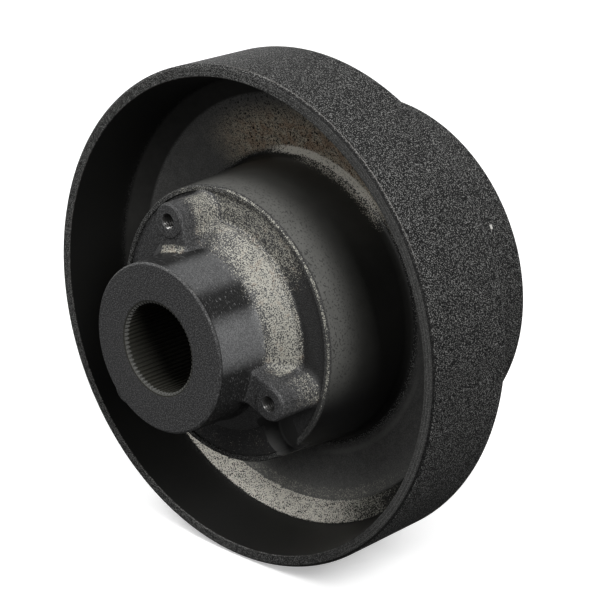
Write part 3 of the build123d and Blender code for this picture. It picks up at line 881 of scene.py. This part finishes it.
def cast_front():
    """The hub's cast front as one flowing surface: nose, flare, collar, flange face and three lugs."""
    outline = [
        (0, -3), (NOSE_R, -3), (NOSE_R, 1), (*FLARE_FOOT, 14.0), (COLLAR_R, COLLAR_Y, 0.8),
        (COLLAR_R, FLANGE_Y, 1.6), (FLANGE_R + 3, FLANGE_Y), (FLANGE_R + 3, SEAT_Y + 2), (0, SEAT_Y + 2),
    ]
    body = lathe("splined_hub_body", outline, HUB_STEPS)
    for angle in LUG_ANGLES:
        post = rod(LUG_R - 0.3, LUG_Y + 0.1, FLANGE_Y + 4, LUG_PCD_R, angle)
        bridge = placed(box(-LUG_BRIDGE, 0, LUG_Y + 0.1, FLANGE_Y + 4, LUG_R - 0.3), LUG_PCD_R, angle)
        combine(body, post, "UNION")
        combine(body, bridge, "UNION")
    modifier = body.modifiers.new("even cells", "REMESH")
    modifier.mode = "VOXEL"
    modifier.voxel_size = HUB_CELL * MM
    apply_modifiers(body)
    settle_on_surface(body, rounded(outline))
    return body


def settle_on_surface(body, points):
    """Moves the remeshed hub's points onto the turned outline with its lugs, joined by fillets."""
    count = len(body.data.vertices)
    place = np.empty(count * 3)
    body.data.vertices.foreach_get("co", place)
    place = place.reshape(-1, 3) / MM

    def distance(at):
        result = outline_distance(points, np.hypot(at[:, 0], at[:, 2]), at[:, 1])
        for angle in LUG_ANGLES:
            result = smooth_union(result, lug_distance(at, angle), LUG_FILLET)
        return result

    probe = 0.03
    for _ in range(5):
        here = distance(place)
        slope = np.stack([(distance(place + step) - distance(place - step)) / (2 * probe)
                          for step in np.eye(3) * probe], 1)
        size = np.maximum((slope ** 2).sum(1), 0.25)
        place = place - slope * (np.clip(here, -0.5, 0.5) / size)[:, None]
    body.data.vertices.foreach_set("co", (place * MM).ravel())
    body.data.update()


def box(x_from, x_to, y_from, y_to, half_z):
    corners = [(x, y, z) for x in (x_from, x_to) for y in (y_from, y_to) for z in (-half_z, half_z)]
    sides = [(0, 1, 3, 2), (4, 6, 7, 5), (0, 4, 5, 1), (2, 3, 7, 6), (0, 2, 6, 4), (1, 5, 7, 3)]
    return new_object("box", corners, sides)


def spline_cutter():
    """Prism whose section is the spline bore, its teeth's corners eased."""
    pitch = 2 * math.pi / SPLINE_TEETH
    corners = ((SPLINE_TIP_R, -0.36), (SPLINE_TIP_R + 0.1, -0.30), (SPLINE_ROOT_R - 0.1, -0.21),
               (SPLINE_ROOT_R, -0.15), (SPLINE_ROOT_R, 0.15), (SPLINE_ROOT_R - 0.1, 0.21),
               (SPLINE_TIP_R + 0.1, 0.30), (SPLINE_TIP_R, 0.36))
    section = [(r, (tooth + share) * pitch) for tooth in range(SPLINE_TEETH) for r, share in corners]
    count = len(section)
    verts = [(r * math.cos(a), y, r * math.sin(a)) for y in (-4, SPLINE_END_Y + 1) for r, a in section]
    faces = [tuple(range(count)), tuple(range(count, 2 * count))]
    faces += [(i, (i + 1) % count, (i + 1) % count + count, i + count) for i in range(count)]
    return new_object("spline", verts, faces)


def hub_trims():
    """Solids that cut the hub's cast front to its machined nose end, flange side and seat."""
    outer = FLANGE_R + 9
    nose_end = [(0, -10), (45, -10), (45, 4.5), (40.5, 0, 0.5), (0, 0)]
    flange_side = [(FLANGE_R - 0.32, FLANGE_Y - 0.02), (FLANGE_R, FLANGE_Y + 0.3, 0.2),
                   (FLANGE_R, SEAT_Y + 9), (outer, SEAT_Y + 9), (outer, FLANGE_Y - 0.02)]
    seat = [(SPIGOT_R - 1, SEAT_Y), (SPIGOT_R - 1, SEAT_Y + 9), (outer, SEAT_Y + 9), (outer, SEAT_Y)]
    return [lathe("nose_end", nose_end, HUB_STEPS), lathe("flange_side", flange_side, 300),
            lathe("seat", seat, HUB_STEPS)]


def bore_cutters():
    """The spline, its chamfered mouth, and behind it the relief and the pilot bush's seat."""
    end_y = SPIGOT_END_Y + 2
    mouth = [(0, -3), (MOUTH_R + 3 / 0.65, -3), (MOUTH_R, 0, 0.3), (MOUTH_R - 4, 2.6), (0, 2.6)]
    relief = [(0, SPLINE_END_Y), (RELIEF_R, SPLINE_END_Y), (RELIEF_R, BUSH_SEAT_Y),
              (BUSH_SEAT_R, BUSH_SEAT_Y), (BUSH_SEAT_R, end_y), (0, end_y)]
    return [spline_cutter(), lathe("mouth", mouth, HUB_STEPS), lathe("relief", relief, 200)]


def lug_hole_cutters(angle):
    """A puller lug's tapped hole: countersink, core and thread."""
    sink = [(0, PAD_Y - 1), (M8_CREST_R + 1.2, PAD_Y - 1), (M8_ROOT_R - 0.3, PAD_Y + 0.75), (0, PAD_Y + 0.75)]
    return [placed(lathe("sink", sink, 48), LUG_PCD_R, angle),
            rod(M8_ROOT_R - 0.05, PAD_Y - 1, LUG_HOLE_END_Y, LUG_PCD_R, angle, 40),
            threaded_rod(M8, PAD_Y - 1.5, PAD_Y + 14, LUG_PCD_R, angle)]


def hub_body():
    body = carve(cast_front(), hub_trims())
    spigot = [(0, SEAT_Y - 4), (SPIGOT_R, SEAT_Y - 4), (SPIGOT_R, SPIGOT_END_Y, 0.6), (0, SPIGOT_END_Y)]
    combine(body, lathe("spigot", spigot, HUB_STEPS), "UNION")
    pad = [(0, PAD_Y), (PAD_R, PAD_Y, 0.3), (PAD_R, LUG_Y + 3), (0, LUG_Y + 3)]
    for angle in LUG_ANGLES:
        combine(body, placed(lathe("pad", pad, 72), LUG_PCD_R, angle), "UNION")
    cutters = [*bore_cutters(), pocket_rod()]
    for angle in LUG_ANGLES:
        cutters += lug_hole_cutters(angle)
    cutters += ring_of_rods(M8_TAP_R, FLANGE_TAP_END_Y, SEAT_Y + 1, FLANGE_SCREW_R, FLANGE_SCREW_ANGLES)
    cutters += ring_of_rods(DOWEL_R, DOWEL_HOLE_Y, SEAT_Y + 1, DOWEL_PCD_R, DOWEL_ANGLES)
    carve(body, cutters)
    clean(body, 0.004)
    return finish_mesh(body, 38)


# Screws

def knurled_head(seat_y, radius, high):
    """Screw head on the Y axis, its side fluted between two plain edges."""
    rim = 0.5
    flutes = 36
    flute_deep = 0.11
    outline = [(0, seat_y), (radius - 0.3, seat_y, 0.15), (radius, seat_y + 0.5, 0.2),
               (radius, seat_y + high - rim, 0.3), (radius - rim, seat_y + high, 0.2), (0, seat_y + high)]
    head = lathe("head", outline, flutes * 4, 1.5)
    for vertex in head.data.vertices:
        x, y, z = vertex.co / MM
        if math.hypot(x, z) > radius - 0.06 and seat_y + 0.8 < y < seat_y + high - 0.9:
            shrink = 1 - flute_deep / radius * (1 + math.cos(flutes * math.atan2(z, x)))
            vertex.co.x *= shrink
            vertex.co.z *= shrink
    return head


def socket_cutters(top_y, floor_y, key_r):
    """Hexagonal key socket and the dimple at its mouth."""
    verts = []
    for y in (floor_y, top_y + 2):
        verts += [(key_r * math.cos(math.pi * k / 3), y, key_r * math.sin(math.pi * k / 3)) for k in range(6)]
    faces = [tuple(range(6)), tuple(range(6, 12))]
    faces += [(k, (k + 1) % 6, (k + 1) % 6 + 6, k + 6) for k in range(6)]
    dimple = [(0, top_y - 0.5), (key_r - 0.5, top_y - 0.5), (key_r + 0.5, top_y + 0.5), (0, top_y + 0.5)]
    return [new_object("socket", verts, faces), lathe("dimple", dimple, 48)]


def cap_screw(seat_y, grip, length, thread, hole_r, head_r, head_high, key_r):
    """Socket head cap screw on the Y axis, its head on seat_y and its point towards -Y."""
    body = knurled_head(seat_y, head_r, head_high)
    combine(body, rod(hole_r - 0.5, seat_y - grip, seat_y + 0.5, steps=48), "UNION")
    combine(body, threaded_rod(thread, seat_y - length, seat_y - grip + 0.6, steps=32), "UNION")
    return carve(body, socket_cutters(seat_y + head_high, seat_y + head_high / 2, key_r))


def screw_set(name, radius, angles, *sizes):
    """Copies of one cap screw round the shaft axis, as one piece."""
    first = cap_screw(*sizes)
    copies = []
    for angle in angles:
        copy = bpy.data.objects.new("copy", first.data.copy())
        copies.append(placed(copy, radius, angle))
    bpy.data.objects.remove(first)
    return finish_mesh(join(copies, name), 30)


# Rubber blocks

def rubber_block(name, node):
    """Moulded block between two flanks, with rounded edges and slightly bulging free faces."""
    low, high = (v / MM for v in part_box(node))
    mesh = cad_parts[node].data
    angles = [math.atan2(v.co.z, v.co.x) for v in mesh.vertices]
    centre = math.atan2(sum(map(math.sin, angles)), sum(map(math.cos, angles)))
    turn = [(a - centre + math.pi) % (2 * math.pi) - math.pi for a in angles]
    radii = [v.co.xz.length / MM for v in mesh.vertices]
    spans = ((min(radii), max(radii)), (low.y, high.y), (min(turn), max(turn)))
    cells = 22
    grid = np.linspace(-1, 1, cells + 1)
    index, verts, faces = {}, [], []

    def vertex(key):
        if key not in index:
            index[key] = len(verts)
            verts.append(block_point(np.array([grid[k] for k in key]), spans, centre))
        return index[key]

    for axis in range(3):
        one, two = (axis + 1) % 3, (axis + 2) % 3
        for side in (0, cells):
            for i in range(cells):
                for j in range(cells):
                    ring = []
                    for di, dj in ((0, 0), (1, 0), (1, 1), (0, 1)):
                        key = [0, 0, 0]
                        key[axis], key[one], key[two] = side, i + di, j + dj
                        ring.append(vertex(tuple(key)))
                    faces.append(tuple(ring))
    return finish_mesh(new_object(name, verts, faces), 80), centre, spans


def block_point(cube, spans, centre):
    """Place of a point of the cube from -1 to 1 on the block, its corners rounded."""
    corner = 2.2
    middle_r = sum(spans[0]) / 2
    half = np.array([(spans[0][1] - spans[0][0]) / 2, (spans[1][1] - spans[1][0]) / 2,
                     (spans[2][1] - spans[2][0]) / 2 * middle_r])
    eased = np.sign(cube) * np.sin(np.abs(cube) * math.pi / 2) ** 0.9
    flat = eased * half
    core = np.clip(flat, -(half - corner), half - corner)
    push = flat - core
    if np.linalg.norm(push) > 1e-9:
        flat = core + push / np.linalg.norm(push) * corner
    sink = 0.45 * (1 - (1 - (flat[0] / half[0]) ** 2) * (1 - (flat[2] / half[2]) ** 2))
    flat[1] -= np.sign(flat[1]) * sink * (abs(flat[1]) / half[1]) ** 4
    radius = middle_r + flat[0]
    turn = centre + flat[2] / middle_r
    return (radius * math.cos(turn), sum(spans[1]) / 2 + flat[1], radius * math.sin(turn))


# The object

drum = drum_shell()
dress(drum, "black_cast_paint", "drum_half", "drum_casting")
hub = hub_body()
dress(hub, "black_hub_paint", "drum_half", "splined_hub")

flange_seat = SEAT_END_Y + WASHER_THICK
flange_screws = screw_set("flange_screws", FLANGE_SCREW_R, FLANGE_SCREW_ANGLES,
                          flange_seat, flange_seat - SEAT_Y, flange_seat - FLANGE_TAP_END_Y - M8_TIP_GAP,
                          M8, M8_HOLE_R, *M8_HEAD)
dress(flange_screws, "black_oxide_steel", "drum_half", "hub_flange_screws")
jaw_seat = JAW_COUNTERBORE_Y + WASHER_THICK
jaw_screws = screw_set("jaw_screws", JAW_SCREW_R, JAW_ANGLES,
                       jaw_seat, jaw_seat - FLOOR_Y, jaw_seat - JAW_TAP_END_Y - M8_TIP_GAP,
                       M8, M8_HOLE_R, *M8_HEAD)
dress(jaw_screws, "black_oxide_steel", "drum_half", "jaw_ring_screws")
ring_seat = RETAINER_END_Y + WASHER_THICK
ring_screw_angles = [jaw + side * RETAINING_SCREW_OFFSET for jaw in JAW_ANGLES for side in (-1, 1)]
ring_screws = screw_set("ring_screws", RETAINING_SCREW_R, ring_screw_angles,
                        ring_seat, ring_seat - RING_SEAT_Y, ring_seat - RETAINING_TAP_END_Y - M6_TIP_GAP,
                        M6, M6_HOLE_R, *M6_HEAD)
dress(ring_screws, "black_oxide_steel", "drum_half", "retaining_screws")

for number in range(1, 9):
    node = f"cushion_{number}"
    block, centre, spans = rubber_block(f"rubber_block_{number}", node)
    block.data.materials.append(MATERIALS["block_rubber"])
    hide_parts(node)
    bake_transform(block)

CAD_FINISHES = {
    "hub_screw_washers": ("zinc_steel", 0.15),
    "hub_dowel_pins": ("ground_steel", 0.5),
    "drive_jaw_ring": ("machined_steel", 0.5),
    "jaw_ring_washers": ("zinc_steel", 0.15),
    "retaining_ring": ("zinc_steel_plate", 0.25),
    "retaining_washers": ("zinc_steel", 0.15),
    "pilot_bush": ("bronze", 0.4),
    "thrust_washer": ("bronze", 0.3),
    "bore_end_plug": ("zinc_steel_plate", 0.4),
    "driven_hub": ("machined_steel", 0.35),
    "set_screws": ("black_oxide_steel", 0.12),
}
for node, (finish, bevel) in CAD_FINISHES.items():
    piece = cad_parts[node]
    piece.data.materials.clear()
    piece.data.materials.append(MATERIALS[finish])
    weld = piece.modifiers.new("weld", "WELD")
    weld.merge_threshold = 0.002 * MM
    edges = piece.modifiers.new("edges", "BEVEL")
    edges.width = bevel * MM
    edges.segments = 2
    edges.limit_method = "ANGLE"
    edges.angle_limit = math.radians(40)
    normals = piece.modifiers.new("even normals", "WEIGHTED_NORMAL")
    normals.keep_sharp = True

# Floor, light and camera

FLOOR_HALF = 12.0
FLOOR_GLOW = 0.38
SKY_STRENGTH = 0.11
WHITE = (1.0, 1.0, 1.0, 1.0)

floor_z = CAD_BOX[0][2] - 0.0005
floor_mesh = bpy.data.meshes.new("floor")
corners = [(x * FLOOR_HALF, y * FLOOR_HALF, floor_z) for x, y in ((-1, -1), (1, -1), (1, 1), (-1, 1))]
floor_mesh.from_pydata(corners, [], [(0, 1, 2, 3)])
floor = bpy.data.objects.new("floor", floor_mesh)
bpy.context.scene.collection.objects.link(floor)
floor_graph = Graph("pale_floor")
floor_colour = floor_graph.mix(floor_graph.noise(60.0, 3.0), (0.86, 0.86, 0.86), (0.90, 0.90, 0.90))
floor_mesh.materials.append(floor_graph.surface(floor_colour, 0.8))
shader = floor_graph.tree.nodes["Principled BSDF"]
shader.inputs["Emission Color"].default_value = WHITE
shader.inputs["Emission Strength"].default_value = FLOOR_GLOW
floor.visible_diffuse = False
floor.visible_glossy = False

world = bpy.data.worlds.new("studio")
bpy.context.scene.world = world
world.use_nodes = True
sky = world.node_tree.nodes["Background"]
sky.inputs["Color"].default_value = WHITE
sky.inputs["Strength"].default_value = SKY_STRENGTH


def softbox(name, place, size, power):
    """Large square area light that points at the drum's rim."""
    light = bpy.data.lights.new(name, "AREA")
    light.energy = power
    light.size = size
    made = bpy.data.objects.new(name, light)
    bpy.context.scene.collection.objects.link(made)
    made.location = place
    aim = Vector((0, RIM_Y * MM, 0)) - Vector(place)
    made.rotation_euler = aim.to_track_quat("-Z", "Y").to_euler()
    return made


softbox("key_right", (1.60, -0.46, 1.42), 0.8, 44)
softbox("key_left", (-1.05, -0.75, 1.75), 0.8, 30)
softbox("front", (0.3, -1.9, 1.0), 1.2, 7)
softbox("rear", (-0.2, 2.6, 0.20), 1.0, 24)
softbox("rear_left", (-1.9, 1.2, 0.4), 1.0, 12)

# The camera's angle, distance and lens follow the photo's circles
AZIMUTH = math.radians(42.84)
ELEVATION = math.radians(19.79)
DISTANCE = 1.05
AIM = Vector((0.0029, 0.0944, 0.0))

camera = bpy.data.cameras.new("camera")
camera.lens = 127.25
camera.sensor_width = 36
camera_object = bpy.data.objects.new("camera", camera)
bpy.context.scene.collection.objects.link(camera_object)
back = Vector((math.sin(AZIMUTH) * math.cos(ELEVATION), -math.cos(AZIMUTH) * math.cos(ELEVATION),
               math.sin(ELEVATION)))
camera_object.location = AIM + back * DISTANCE
camera_object.rotation_euler = back.to_track_quat("Z", "Y").to_euler()
bpy.context.scene.camera = camera_object
bpy.context.scene.view_settings.view_transform = "Standard"
